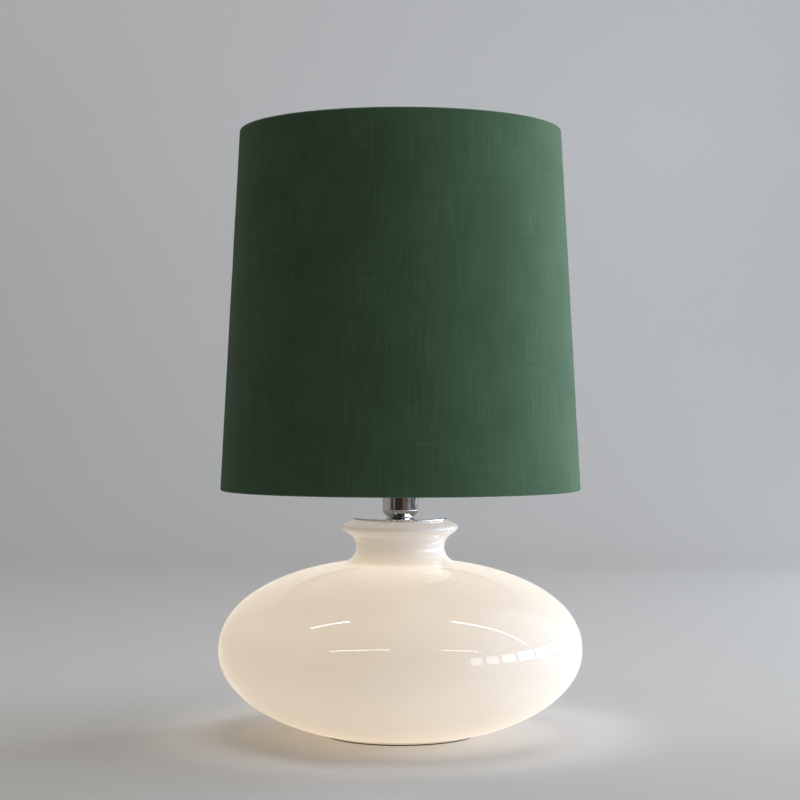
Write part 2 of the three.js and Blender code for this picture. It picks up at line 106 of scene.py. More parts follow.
def make_world():
    """The surroundings, which show in the gloss, and a plain backdrop that the camera sees."""
    world = bpy.data.worlds.new("studio")
    world.use_nodes = True
    bpy.context.scene.world = world
    nodes, links = world.node_tree.nodes, world.node_tree.links
    direction = nodes.new("ShaderNodeSeparateXYZ")
    links.new(nodes.new("ShaderNodeTexCoord").outputs["Generated"], direction.inputs[0])
    flipped = nodes.new("ShaderNodeMath")
    flipped.operation = "MULTIPLY"
    flipped.inputs[1].default_value = -1
    links.new(direction.outputs["Y"], flipped.inputs[0])
    azimuth = nodes.new("ShaderNodeMath")
    azimuth.operation = "ARCTAN2"
    links.new(direction.outputs["X"], azimuth.inputs[0])
    links.new(flipped.outputs[0], azimuth.inputs[1])
    share = nodes.new("ShaderNodeMapRange")
    share.inputs["From Min"].default_value = -math.pi
    share.inputs["From Max"].default_value = math.pi
    links.new(azimuth.outputs[0], share.inputs["Value"])
    ramp = nodes.new("ShaderNodeValToRGB")
    links.new(share.outputs[0], ramp.inputs["Fac"])
    stops = ramp.color_ramp.elements
    for at, colour in SURROUNDINGS[1:-1]:
        stops.new((at + 180) / 360).color = (*colour, 1)
    stops[0].color = (*SURROUNDINGS[0][1], 1)
    stops[len(stops) - 1].color = (*SURROUNDINGS[-1][1], 1)
    seen = nodes.new("ShaderNodeMix")
    seen.data_type = "RGBA"
    seen.inputs[MIX_SECOND].default_value = BACKDROP
    path = nodes.new("ShaderNodeLightPath")
    links.new(path.outputs["Is Camera Ray"], seen.inputs["Factor"])
    links.new(ramp.outputs["Color"], seen.inputs[MIX_FIRST])
    links.new(seen.outputs[MIX_RESULT], nodes["Background"].inputs["Color"])
    dimmed = nodes.new("ShaderNodeMapRange")
    links.new(path.outputs["Is Diffuse Ray"], dimmed.inputs["Value"])
    dimmed.inputs["To Min"].default_value = 1.0
    dimmed.inputs["To Max"].default_value = SCATTERED_SHARE
    links.new(dimmed.outputs[0], nodes["Background"].inputs["Strength"])


def make_stage():
    """A pale floor that sweeps up into a plain wall well behind the lamp."""
    front, sweep_from, radius, top, half_width = -3.7, 2.4, 1.2, 5.0, 3.7
    sweep_steps = 16
    profile = [(front, 0.0), (-2.0, 0.0), (0.0, 0.0), (sweep_from, 0.0)]
    for step in range(1, sweep_steps + 1):
        angle = math.pi / 2 * step / sweep_steps
        profile.append((sweep_from + radius * math.sin(angle), radius * (1 - math.cos(angle))))
    profile.append((sweep_from + radius, top))
    verts = [(x, y, z) for y, z in profile for x in (-half_width, half_width)]
    faces = [(2 * i, 2 * i + 1, 2 * i + 3, 2 * i + 2) for i in range(len(profile) - 1)]
    mesh = bpy.data.meshes.new("floor")
    mesh.from_pydata(verts, [], faces)
    mesh.shade_smooth()
    floor = bpy.data.objects.new("floor", mesh)
    bpy.context.collection.objects.link(floor)
    paint = {"Base Color": (0.76, 0.755, 0.745, 1), "Roughness": 0.85, "Specular IOR Level": 0.15}
    mesh.materials.append(Look("stage", paint).material)


def area_light(name, place, aim, size, radiance, colour, in_gloss=True):
    """A rectangular light at a place, turned towards a point. Its power follows from how bright its
    face is."""
    light = bpy.data.lights.new(name, "AREA")
    light.shape = "RECTANGLE"
    light.size, light.size_y = size
    light.energy = radiance * math.pi * size[0] * size[1]
    light.color = colour
    lamp = bpy.data.objects.new(name, light)
    lamp.location = place
    lamp.rotation_euler = (Vector(aim) - Vector(place)).to_track_quat("-Z", "Y").to_euler()
    lamp.visible_camera = False
    lamp.visible_glossy = in_gloss
    bpy.context.collection.objects.link(lamp)
    return lamp


# The panes of a low row of windows on the right: first and last azimuth, and how bright.
PANES = [
    (42.5, 50.0, 5),
    (52.5, 61.0, 5),
    (63.5, 73.5, 6),
    (76.0, 88.5, 19),
    (91.0, 104.0, 20),
    (107.0, 133.0, 20),
]
WINDOW = {"distance": 3.1, "low": 0.142, "high": 0.80}
DAYLIGHT = (0.80, 0.88, 1.0)

# Thin ceiling tubes along X: first and last x, and how far in front of the lamp.
TUBES = [(-1.9, 6.0, 0.2), (-3.6, -0.5, 3.5), (1.7, 4.6, 3.5)]
TUBE = {
    "height": 2.45,
    "aim_height": 0.1,
    "width": 0.04,
    "radiance": 36,
    "colour": (1.0, 0.98, 0.95),
}

# Lights kept out of the gloss: name, place, the point they face, size, radiance and colour.
SOFT_LIGHTS = [
    ("top", (0.05, -0.15, 2.0), (0.05, -0.15, 0), (1.1, 1.1), 3.1, (1.0, 0.985, 0.96)),
    ("fill", (-2.2, 1.2, 1.0), (0, 0, 0.35), (1.2, 1.4), 0.45, (1.0, 0.84, 0.66)),
    ("wall_1", (-1.9, 1.9, 3.0), (-0.6, 3.4, 0.7), (1.6, 0.6), 5.05, (1.0, 0.99, 0.96)),
    ("wall_2", (1.9, 1.9, 3.0), (0.6, 3.4, 0.7), (1.6, 0.6), 4.25, (0.95, 0.965, 0.97)),
]


def make_lights():
    """The window row, the ceiling tubes and the soft lights."""
    reach, mid = WINDOW["distance"], (WINDOW["low"] + WINDOW["high"]) / 2
    for number, (first, last, radiance) in enumerate(PANES, 1):
        middle = math.radians((first + last) / 2)
        width = 2 * reach * math.tan(math.radians(last - first) / 2)
        place = (reach * math.sin(middle), -reach * math.cos(middle), mid)
        size = (width, WINDOW["high"] - WINDOW["low"])
        area_light(f"pane_{number}", place, (0, 0, mid), size, radiance, DAYLIGHT)
    for number, (start, end, away) in enumerate(TUBES, 1):
        middle = ((start + end) / 2, -away, TUBE["height"])
        aim = (middle[0], 0, TUBE["aim_height"])
        size = (end - start, TUBE["width"])
        tube = area_light(f"tube_{number}", middle, aim, size, TUBE["radiance"], TUBE["colour"])
        tube.visible_diffuse = False
    for settings in SOFT_LIGHTS:
        area_light(*settings, in_gloss=False)


# ---------------------------------------------------------------- materials


class Look:
    """A material on a Principled shader, with short ways to put nodes in front of it."""

    def __init__(self, name, settings):
        self.material = bpy.data.materials.new(name)
        self.material.use_nodes = True
        self.tree = self.material.node_tree
        self.shader = self.tree.nodes["Principled BSDF"]
        for socket, value in settings.items():
            self.shader.inputs[socket].default_value = value

    def node(self, kind, inputs, output=0, **settings):
        """Adds a node. An input is a number, a colour or another node's output."""
        made = self.tree.nodes.new("ShaderNode" + kind)
        for key, value in settings.items():
            setattr(made, key, value)
        for key, value in inputs.items():
            if isinstance(value, bpy.types.NodeSocket):
                self.tree.links.new(value, made.inputs[key])
            else:
                made.inputs[key].default_value = value
        return made.outputs[output]

    def math(self, operation, first, second=0.0):
        return self.node("Math", {0: first, 1: second}, operation=operation)

    def place(self):
        """Object coordinates, in metres."""
        return self.node("TexCoord", {}, output="Object")

    def stretched(self, vector, scale):
        return self.node("Mapping", {"Vector": vector, "Scale": scale})

    def noise(self, vector, scale, detail=2.0, roughness=0.5):
        inputs = {"Vector": vector, "Scale": scale, "Detail": detail, "Roughness": roughness}
        return self.node("TexNoise", inputs)

    def ranged(self, value, low, high, to_low=0.0, to_high=1.0, smooth=True):
        """value moved from low..high to to_low..to_high, and held there outside it."""
        inputs = {
            "Value": value,
            "From Min": low,
            "From Max": high,
            "To Min": to_low,
            "To Max": to_high,
        }
        kind = "SMOOTHSTEP" if smooth else "LINEAR"
        return self.node("MapRange", inputs, interpolation_type=kind)

    def mixed(self, factor, first, second):
        inputs = {MIX_FACTOR: factor, MIX_FIRST: first, MIX_SECOND: second}
        return self.node("Mix", inputs, output=MIX_RESULT, data_type="RGBA")

    def total(self, *weighted):
        """The sum of some outputs, each times its weight."""
        terms = [self.math("MULTIPLY", value, weight) for value, weight in weighted]
        made = terms[0]
        for term in terms[1:]:
            made = self.math("ADD", made, term)
        return made

    def set(self, socket, value):
        self.tree.links.new(value, self.shader.inputs[socket])

    def bumped(self, height, depth, strength=1.0):
        """Relief of that depth in metres, from a height of 0 to 1."""
        inputs = {"Height": height, "Distance": depth, "Strength": strength}
        self.set("Normal", self.node("Bump", inputs))


def shaded(colour, factor):
    return tuple(c * factor for c in colour[:3]) + (1,)


def finish(name, colour, roughness, grain, vary=0.08, relief=0.0, **settings):
    """A hard finish: its colour and gloss drift over the surface, with fine relief where asked.
    grain is the size in metres of the patches."""
    look = Look(name, {"Base Color": colour, **settings})
    place = look.place()
    patches = look.noise(place, 1 / grain, 4.0, 0.6)
    broad = look.noise(place, 0.15 / grain, 2.0)
    tone = look.total((patches, 0.6), (broad, 0.4))
    share = look.ranged(tone, 0.3, 0.7)
    look.set("Base Color", look.mixed(share, shaded(colour, 1 - vary), shaded(colour, 1 + vary)))
    look.set("Roughness", look.ranged(tone, 0.25, 0.75, roughness * 0.8, roughness * 1.25))
    if relief:
        look.bumped(look.noise(place, 2.5 / grain, 5.0, 0.6), relief)
    return look.material


def brushed(name, colour, roughness, stretch):
    """Metal with fine lines; stretch is the scale along each axis, small where the lines run."""
    look = Look(name, {"Base Color": colour, "Metallic": 1.0})
    place = look.place()
    lines = look.noise(look.stretched(place, stretch), 1.0, 3.0, 0.65)
    stains = look.noise(place, 45.0, 3.0)
    share = look.ranged(stains, 0.35, 0.7)
    look.set("Base Color", look.mixed(share, shaded(colour, 0.86), shaded(colour, 1.06)))
    look.set("Roughness", look.ranged(lines, 0.3, 0.7, roughness * 0.75, roughness * 1.3))
    look.bumped(lines, 0.00003)
    return look.material


def chrome():
    """Bright plating with faint hazy patches and hairlines from polishing."""
    look = Look("chrome", {"Base Color": (0.80, 0.81, 0.83, 1), "Metallic": 1.0})
    place = look.place()
    haze = look.noise(place, 60.0, 4.0, 0.6)
    hairs = look.noise(look.stretched(place, (300.0, 300.0, 2500.0)), 1.0, 2.0)
    share = look.ranged(haze, 0.35, 0.7)
    look.set("Base Color", look.mixed(share, (0.74, 0.75, 0.77, 1), (0.83, 0.84, 0.86, 1)))
    hazy = look.ranged(haze, 0.4, 0.75, 0.012, 0.05)
    look.set("Roughness", look.math("ADD", hazy, look.math("MULTIPLY", hairs, 0.015)))
    look.bumped(hairs, 0.000001, 0.3)
    return look.material


OPAL = {
    "white": (0.51, 0.515, 0.53, 1),
    "glow": (0.585, 0.475, 0.350, 1),
    # How the painted glow changes over a zone: first and last height in metres, and its share at
    # each.
    "zones": [
        (0.085, 0.17, 0.92, 1.0),  # belly to shoulder
        (0.183, 0.222, 1.0, 0.42),  # neck
        (0.0, 0.06, 0.86, 1.0),  # foot
    ],
}


def opal_glass():
    """White cased glass with a hard gloss. Its glow is painted light: emission on the glass stands
    in for the inner bulb's light shining through it. The glow is fullest on the shoulder, a little
    less below it, and falls off up the neck."""
    settings = {"IOR": 1.5, "Specular IOR Level": 0.45, "Emission Strength": 1.0}
    look = Look("opal_glass", settings)
    place = look.place()
    height = look.node("SeparateXYZ", {"Vector": place}, output="Z")
    streaks = look.noise(look.stretched(place, (5.0, 5.0, 16.0)), 1.0, 3.0)
    cloud = look.noise(place, 9.0, 2.0)
    milk = look.total((streaks, 0.5), (cloud, 0.5))
    share = look.ranged(milk, 0.35, 0.65)
    white = OPAL["white"]
    look.set("Base Color", look.mixed(share, shaded(white, 0.975), shaded(white, 1.015)))
    glow = look.ranged(milk, 0.3, 0.7, 0.97, 1.03)
    for zone in OPAL["zones"]:
        glow = look.math("MULTIPLY", glow, look.ranged(height, *zone))
    # The emission colour is painted light, in place of the inner bulb's light coming through the
    # glass.
    look.set("Emission Color", look.mixed(glow, (0, 0, 0, 1), OPAL["glow"]))
    look.set("Roughness", look.ranged(cloud, 0.3, 0.7, 0.015, 0.035))
    look.bumped(look.noise(place, 14.0, 1.0), 0.0003, 0.2)
    return look.material


LINEN = {
    "dark": (0.068, 0.127, 0.071, 1),
    "light": (0.114, 0.214, 0.130, 1),
    "thread": 0.00075,  # from one thread to the next
    "radius": 0.19,  # turns an angle round the shade into a length
}


def linen():
    """Plain-woven linen: round threads, thick slubs both ways of the weave, and a soft sheen."""
    settings = {
        "Roughness": 0.92,
        "Sheen Weight": 0.06,
        "Sheen Roughness": 0.5,
        "Specular IOR Level": 0.1,
    }
    look = Look("linen", settings)
    place = look.node("SeparateXYZ", {"Vector": look.place()}).node.outputs
    across = look.math("ARCTAN2", place["X"], look.math("MULTIPLY", place["Y"], -1.0))
    across = look.math("MULTIPLY", across, LINEN["radius"])
    cloth = look.node("CombineXYZ", {"X": across, "Y": place["Z"]})

    def slubs(scale, low, high):
        """Threads of uneven thickness: scale is how many there are in a metre each way."""
        return look.ranged(look.noise(look.stretched(cloth, scale), 1.0, 3.0, 0.55), low, high)

    up = slubs((620.0, 15.0, 1.0), 0.42, 0.74)
    up_thick = slubs((380.0, 30.0, 1.0), 0.63, 0.76)
    along = slubs((17.0, 700.0, 1.0), 0.42, 0.76)
    along_thick = slubs((28.0, 400.0, 1.0), 0.63, 0.76)
    broad = look.noise(cloth, 14.0, 3.0)

    wave = TURN / LINEN["thread"]
    warp = look.math("SINE", look.math("MULTIPLY", across, wave))
    weft = look.math("SINE", look.math("MULTIPLY", place["Z"], wave))
    crossings = look.math("MULTIPLY", look.math("MULTIPLY", warp, weft), 0.5)
    weave = look.math("ADD", crossings, 0.5)

    threads = [(up, 0.24), (along, 0.16), (up_thick, 0.30), (along_thick, 0.28)]
    tone = look.total(*threads, (look.ranged(broad, 0.3, 0.7), 0.18), (weave, 0.14))
    share = look.ranged(tone, 0.1, 0.95, smooth=False)
    look.set("Base Color", look.mixed(share, LINEN["dark"], LINEN["light"]))

    raised = [(weave, 0.35), (up, 0.3), (up_thick, 0.35), (along, 0.25), (along_thick, 0.3)]
    look.bumped(look.total(*raised), 0.00025, 0.6)
    return look.material


def felt():
    """Matted wool fibres."""
    look = Look("felt", {"Roughness": 0.96, "Sheen Weight": 0.4, "Specular IOR Level": 0.1})
    place = look.place()
    fibres = look.noise(look.stretched(place, (900.0, 1500.0, 1200.0)), 1.0, 5.0, 0.7)
    mats = look.noise(place, 160.0, 4.0)
    tone = look.total((fibres, 0.6), (mats, 0.4))
    share = look.ranged(tone, 0.35, 0.65)
    look.set("Base Color", look.mixed(share, (0.028, 0.018, 0.012, 1), (0.085, 0.055, 0.036, 1)))
    look.bumped(tone, 0.0006)
    return look.material


def lamp_film():
    """The white plastic film that the cloth is glued to, with a faint pressed grain."""
    look = Look("lamp_film", {"Roughness": 0.55, "IOR": 1.5})
    place = look.place()
    grain = look.noise(place, 1400.0, 3.0)
    cloud = look.noise(place, 18.0, 3.0)
    share = look.ranged(cloud, 0.35, 0.7)
    look.set("Base Color", look.mixed(share, (0.66, 0.65, 0.60, 1), (0.76, 0.75, 0.71, 1)))
    look.set("Roughness", look.ranged(grain, 0.3, 0.7, 0.48, 0.62))
    look.bumped(grain, 0.0001, 0.6)
    return look.material


def bulb_glass(name, lit):
    """Satin white glass. lit is the strength of its own light."""
    settings = {"IOR": 1.5, "Emission Color": (1.0, 0.72, 0.40, 1), "Emission Strength": lit}
    look = Look(name, settings)
    place = look.place()
    cloud = look.noise(place, 60.0, 3.0)
    share = look.ranged(cloud, 0.35, 0.7)
    look.set("Base Color", look.mixed(share, (0.80, 0.79, 0.76, 1), (0.88, 0.87, 0.85, 1)))
    look.set("Roughness", look.ranged(cloud, 0.3, 0.7, 0.24, 0.34))
    look.bumped(look.noise(place, 2200.0, 2.0), 0.00004)
    return look.material


METAL = {"Metallic": 1.0}
SATIN = {"IOR": 1.5}

# Hard finishes by slot: name, colour, roughness, size of the patches in metres, how much the tone
# varies, depth of the relief in metres, and the kind of surface.
FINISHES = {
    "grommet_rubber": ("rubber", (0.022, 0.021, 0.020, 1), 0.6, 0.004, 0.2, 0.0002, {}),
    "holder_plastic": ("holder_plastic", (0.76, 0.73, 0.64, 1), 0.35, 0.012, 0.05, 0.0001, SATIN),
    "porcelain": ("porcelain", (0.80, 0.78, 0.72, 1), 0.16, 0.01, 0.05, 0.0001, SATIN),
    "brass": ("brass", (0.70, 0.50, 0.22, 1), 0.24, 0.006, 0.14, 0.00005, METAL),
    "live_wire": ("live_wire", (0.16, 0.065, 0.025, 1), 0.42, 0.004, 0.12, 0.00005, SATIN),
    "neutral_wire": ("neutral_wire", (0.03, 0.10, 0.34, 1), 0.42, 0.004, 0.12, 0.00005, SATIN),
    "bulb_contact": ("solder", (0.55, 0.55, 0.56, 1), 0.38, 0.002, 0.15, 0.0001, METAL),
    "bulb_insulator": ("black_glass", (0.012, 0.010, 0.016, 1), 0.12, 0.003, 0.3, 0.00005, SATIN),
    "white_wire": ("powder_coat", (0.72, 0.71, 0.68, 1), 0.4, 0.003, 0.05, 0.00012, SATIN),
}


def make_looks():
    """One material for each of the record's slots."""
    looks = {
        "opal_glass": opal_glass(),
        "felt": felt(),
        "chrome": chrome(),
        "spring_steel": brushed("spring_steel", (0.30, 0.32, 0.38, 1), 0.3, (90.0, 90.0, 1400.0)),
        "plated_steel": brushed("plated_steel", (0.60, 0.60, 0.61, 1), 0.3, (900.0, 900.0, 900.0)),
        "bulb_glass": bulb_glass("bulb_glass", 0.0),
        "shade_cloth": linen(),
        "shade_liner": lamp_film(),
    }
    for slot, (*settings, kind) in FINISHES.items():
        looks[slot] = finish(*settings, **kind)
    return looks


# ---------------------------------------------------------------- shapes

BODIES = frame["record"]["behaviour"]["bodies"]
BODY_OF = {node: body for body, nodes in BODIES.items() for node in nodes}
SLOT_OF = {part["node"]: part["material_slot"] for part in frame["record"]["subparts"]}
BOXES = {node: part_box(node) for node in frame["nodes"]}


def stand_for(piece, *nodes, look=None):
    """piece takes the place, the body, the slot and the finish of these CAD nodes."""
    piece.data.materials.append(look or LOOKS[SLOT_OF[nodes[0]]])
    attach(piece, BODY_OF[nodes[0]])
    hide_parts(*nodes)
    return piece


def extent(node):
    """Lowest height, highest height and outer radius of a turned CAD node, in millimetres."""
    low, high = BOXES[node]
    return low.z / MM, high.z / MM, high.x / MM


def arc(centre, radius, start, end, steps):
    """Points round an arc in the (radius, height) plane. 0 degrees points outwards and 90 up."""
    angles = [math.radians(start + (end - start) * i / steps) for i in range(steps + 1)]
    return [(centre[0] + radius * math.cos(a), centre[1] + radius * math.sin(a)) for a in angles]


def rounded(corners, steps=5):
    """A closed outline of (radius, height, cut) corners, each rounded off over its cut. A point
    just past each end of a round keeps the shading of the straight beyond it true."""
    past = 1.15  # where those points are, in cuts from the corner
    made = []
    for i, (r, z, cut) in enumerate(corners):
        here = Vector((r, z))
        before = Vector(corners[i - 1][:2]) - here
        after = Vector(corners[(i + 1) % len(corners)][:2]) - here
        cut = min(cut, 0.4 * before.length, 0.4 * after.length)
        if not cut:
            made.append((r, z))
            continue
        start, end = here + before.normalized() * cut, here + after.normalized() * cut
        made.append(tuple(here + before.normalized() * cut * past))
        for step in range(steps + 1):
            t = step / steps
            made.append(tuple(start * (1 - t) ** 2 + here * 2 * t * (1 - t) + end * t * t))
        made.append(tuple(here + after.normalized() * cut * past))
    return made


def piece_from(name, verts, faces, sharp):
    """A smooth-shaded piece, with edges kept sharp past that angle in degrees."""
    mesh = bpy.data.meshes.new(name)
    mesh.from_pydata(verts, [], faces)
    mesh.validate()
    mesh.shade_smooth()
    mesh.set_sharp_from_angle(angle=math.radians(sharp))
    piece = bpy.data.objects.new(name, mesh)
    bpy.context.collection.objects.link(piece)
    return piece


def band(lower, upper, sides):
    """The faces between two rings of vertices. A ring of one vertex is a point on the axis."""
    if len(lower) == len(upper) == 1:
        return []
    faces = []
    for i in range(sides):
        j = (i + 1) % sides
        around = [lower[i % len(lower)], lower[j % len(lower)]]
        around += [upper[j % len(upper)], upper[i % len(upper)]]
        faces.append(list(dict.fromkeys(around)))
    return faces


def turned(name, outline, sides=96, shape=None, sharp=38):
    """A solid turned about Z from a closed outline. shape(angle, r, z) may give a point a new r
    and z."""
    area = sum(a[0] * b[1] - b[0] * a[1] for a, b in zip(outline, outline[1:] + outline[:1]))
    if area < 0:
        outline = outline[::-1]
    verts, rings = [], []
    for r, z in outline:
        count = sides if r > 1e-6 else 1
        rings.append(range(len(verts), len(verts) + count))
        for side in range(count):
            angle = TURN * side / sides
            at_r, at_z = shape(angle, r, z) if shape else (r, z)
            verts.append((at_r * math.sin(angle) * MM, -at_r * math.cos(angle) * MM, at_z * MM))
    faces = []
    for lower, upper in zip(rings, rings[1:] + rings[:1]):
        faces += band(lower, upper, sides)
    return piece_from(name, verts, faces, sharp)


def thread(pitch, depth, low, high, reach):
    """A shape for turned(): a rolled thread cut into radii beyond reach, fading at both ends."""

    def cut(angle, r, z):
        if r < reach:
            return r, z
        fade = max(0.0, min(1.0, (z - low) / pitch, (high - z) / pitch))
        turn = angle / TURN + z / pitch
        return r - depth * fade * (0.5 - 0.5 * math.cos(TURN * turn)), z

    return cut


def levels(low, high, spacing):
    """Heights from low to high, about that far apart."""
    steps = max(1, round((high - low) / spacing))
    return [low + (high - low) * i / steps for i in range(steps + 1)]


def rod(name, start, end, radius, sides=20):
    """A wire between two points, with rounded ends."""
    start, end = Vector(start), Vector(end)
    length = (end - start).length
    # Each end's rounding: distance from the tip, and radius there, both in radii of the wire.
    swell = [(0.0, 0.0), (0.25, 0.62), (0.7, 0.92), (1.4, 1.0)]
    stations = [(d * radius, s) for d, s in swell]
    stations += [(length - d * radius, s) for d, s in reversed(swell)]
    toward = (end - start).to_track_quat("Z", "Y")
    verts, rings = [], []
    for along, share in stations:
        count = sides if share else 1
        rings.append(range(len(verts), len(verts) + count))
        for i in range(count):
            angle = TURN * i / sides
            offset = Vector((math.cos(angle), math.sin(angle), 0)) * radius * share
            verts.append(start + toward @ (offset + Vector((0, 0, along))))
    faces = []
    for lower, upper in zip(rings, rings[1:]):
        faces += band(lower, upper, sides)
    return piece_from(name, verts, faces, 60)


# ---------------------------------------------------------------- glass body

GLASS = {
    "widest": 94,  # height
    "above": (100.4, 2.15),  # reach of the upper curve, and its power
    "below": (100.8, 2.04),
    "wall": 4.5,
    "foot": (57, 85.5),  # inner and outer radius of the ring it stands on
    "kick": (4, 50),  # height and radius of the pushed-up middle
    "throat": ((66, 207.4), 17),  # centre and radius of the curve up the outside of the neck
    "leave": 261,  # the angle on the throat's arc where it leaves the shoulder
    "neck_wall": 5,
    "lip": ((60.9, 229.4), 3.6),  # centre and radius
    "top": (54, 46.5),  # outer and inner radius of the flat top
}


def body_radius(z, inset=0.0):
    """Radius of the rounded body at a height, or of a wall set in from it."""
    reach, power = GLASS["below"] if z < GLASS["widest"] else GLASS["above"]
    share = min(1.0, abs(z - GLASS["widest"]) / (reach - inset))
    half_width = extent("glass_body")[2] - inset
    return half_width * (1 - share**power) ** (1 / power)


def body_wall(low, high, inset, steps):
    """Points up the rounded wall, closest together where it turns quickly."""

    def reach(side):
        return GLASS["below" if side < 0 else "above"][0] - inset

    offsets = [z - GLASS["widest"] for z in (low, high)]
    start, end = (math.asin(offset / reach(offset)) for offset in offsets)
    angles = [start + (end - start) * i / steps for i in range(steps + 1)]
    heights = [GLASS["widest"] + reach(a) * math.sin(a) for a in angles]
    return [(body_radius(z, inset), z) for z in heights]


def glass_outline():
    """The glass in section: under the foot, up the outside, over the lip and down the inside."""
    low, top, _ = extent("glass_body")
    (throat, bend), wall = GLASS["throat"], GLASS["wall"]
    kick, kick_radius = GLASS["kick"]
    foot_inner, foot_outer = GLASS["foot"]
    inside = bend + GLASS["neck_wall"]
    leave = GLASS["leave"]
    meets = [throat[1] + reach * math.sin(math.radians(leave)) for reach in (bend, inside)]
    outer, inner = GLASS["top"]
    return [
        (0, low + kick),
        (0.6 * kick_radius, low + 0.95 * kick),
        (kick_radius, low + 0.7 * kick),
        (foot_inner, low),
        (foot_outer, low),
        (foot_outer + 0.9, low + 0.4),
        *body_wall(low + 1.2, meets[0], 0, 84),
        *arc(throat, bend, leave, 110, 28)[1:],
        *arc(*GLASS["lip"], -55, 62, 14),
        *arc((outer - 2, top - 2), 2, 65, 90, 4),
        *arc((inner + 1, top - 1), 1, 90, 180, 3),
        *arc(throat, inside, 176, leave, 14),
        *body_wall(low + wall + 2, meets[1], wall, 44)[::-1][1:],
        (foot_outer - wall, low + wall),
        (kick_radius, low + wall + 0.75 * kick),
        (0, low + wall + kick),
    ]


def hand_blown(angle, r, z):
    """Moves the wall in by up to a few tenths of a millimetre, in broad soft ripples."""
    smooth_within, depth = 60, 0.35
    if r < smooth_within:
        return r, z
    at = Vector((math.sin(angle) * 2.2, math.cos(angle) * 2.2, z * 0.011))
    return r - depth * (0.5 + 0.5 * noise.noise(at)), z


# Height of the cord outlet, radii of its hole, flange and bore, and how the flange stands off.
GROMMET = {"height": 40, "hole": 6, "flange": 8.5, "bore": 3.75, "stand": 1.2, "lip": 2.2}


def to_back_wall(piece):
    """Moves a piece turned about Z to the cord outlet, where Z becomes the wall's normal."""
    z, step = GROMMET["height"], 0.01
    slope = math.atan2(body_radius(z - step) - body_radius(z + step), 2 * step)
    turn = Matrix.Rotation(slope - math.pi / 2, 4, "X")
    piece.data.transform(Matrix.Translation((0, body_radius(z) * MM, z * MM)) @ turn)


def drilled(piece, drill):
    """Cuts drill out of piece, and removes it."""
    cut = piece.modifiers.new("cord_hole", "BOOLEAN")
    cut.operation = "DIFFERENCE"
    cut.solver = "MANIFOLD"
    cut.object = drill
    depsgraph = bpy.context.evaluated_depsgraph_get()
    made = bpy.data.meshes.new_from_object(piece.evaluated_get(depsgraph))
    made.materials.clear()
    piece.modifiers.clear()
    piece.data = made
    bpy.data.objects.remove(drill)


def smooth_wall_normals(piece, outline):
    """Gives each corner the turned wall's normal, so that the hole leaves no dent in the gloss."""
    points = [Vector(p) for p in outline]
    normals = []
    for i, here in enumerate(points):
        along = (points[(i + 1) % len(points)] - points[i - 1]).normalized()
        normals.append(Vector((along.y, -along.x)))
    tree = kdtree.KDTree(len(points))
    for i, point in enumerate(points):
        tree.insert((point.x, point.y, 0), i)
    tree.balance()
    found = []
    for vertex in piece.data.vertices:
        r = math.hypot(vertex.co.x, vertex.co.y) / MM
        z = vertex.co.z / MM
        near = tree.find_n((r, z, 0), 2)
        weights = [1 / (distance + 1e-4) for _, _, distance in near]
        flat = Vector((0, 0))
        for (_, index, _), weight in zip(near, weights):
            flat += normals[index] * weight
        flat.normalize()
        around = Vector((vertex.co.x, vertex.co.y, 0))
        around = around.normalized() if around.length > 1e-6 else Vector((0, 0, 0))
        found.append(tuple(around * flat.x + Vector((0, 0, flat.y))))
    piece.data.normals_split_custom_set_from_vertices(found)


def make_glass_body():
    outline = glass_outline()
    body = turned("opal_body", outline, 256, hand_blown, 60)
    hole, reach = GROMMET["hole"], 20
    drill = turned("drill", [(0, -reach), (hole, -reach), (hole, reach), (0, reach)], 48)
    to_back_wall(drill)
    drilled(body, drill)
    smooth_wall_normals(body, outline)
    stand_for(body, "glass_body")


def make_grommet():
    groove = GROMMET["hole"] - 0.3
    inner = -GLASS["wall"] - GROMMET["stand"]
    bore, flange, lip = GROMMET["bore"], GROMMET["flange"], GROMMET["lip"]
    outer = GROMMET["stand"] + lip
    corners = [
        (bore, inner - lip, 0.4),
        (flange - 0.6, inner - lip, 0.9),
        (flange - 0.6, inner, 0.5),
        (groove, inner, 0.2),
        (groove, GROMMET["stand"], 0.2),
        (flange, GROMMET["stand"], 0.4),
        (flange - 1.2, outer, 1.3),
        (bore, outer, 0.9),
    ]
    grommet = turned("rubber_grommet", rounded(corners), 64)
    to_back_wall(grommet)
    stand_for(grommet, "cord_grommet")


def make_foot():
    low, high, outer = extent("felt_foot")
    inner = 58
    corners = [(inner, low, 0.3), (outer, low, 0.3), (outer, high, 0.35), (inner, high, 0.3)]

    def fluff(angle, r, z):
        """The uneven cut of both edges, in from the CAD's."""
        at = Vector((math.sin(angle) * 40, math.cos(angle) * 40, z))
        inward = -1 if r > (inner + outer) / 2 else 1
        return r + inward * 0.25 * abs(noise.noise(at)), z

    stand_for(turned("felt_ring", rounded(corners), 256, fluff), "felt_foot")


# ---------------------------------------------------------------- cap and lampholders

TUBE_HOLE = 5.4  # radius of the hole for the threaded tube


def make_cap():
    """A disc with a rolled edge, pressed in by a tenth of a millimetre outside its flat middle."""
    low, high, radius = extent("cap_plate")
    half = (high - low) / 2
    edge = arc((radius - half, low + half), half, -90, 90, 12)
    dish = [(radius - half - 1.5, high - 0.03), (24, high - 0.12), (22.5, high - 0.02)]
    outline = [(TUBE_HOLE, low), *edge, *dish, (TUBE_HOLE, high)]
    stand_for(turned("cap_disc", outline, 160), "cap_plate")


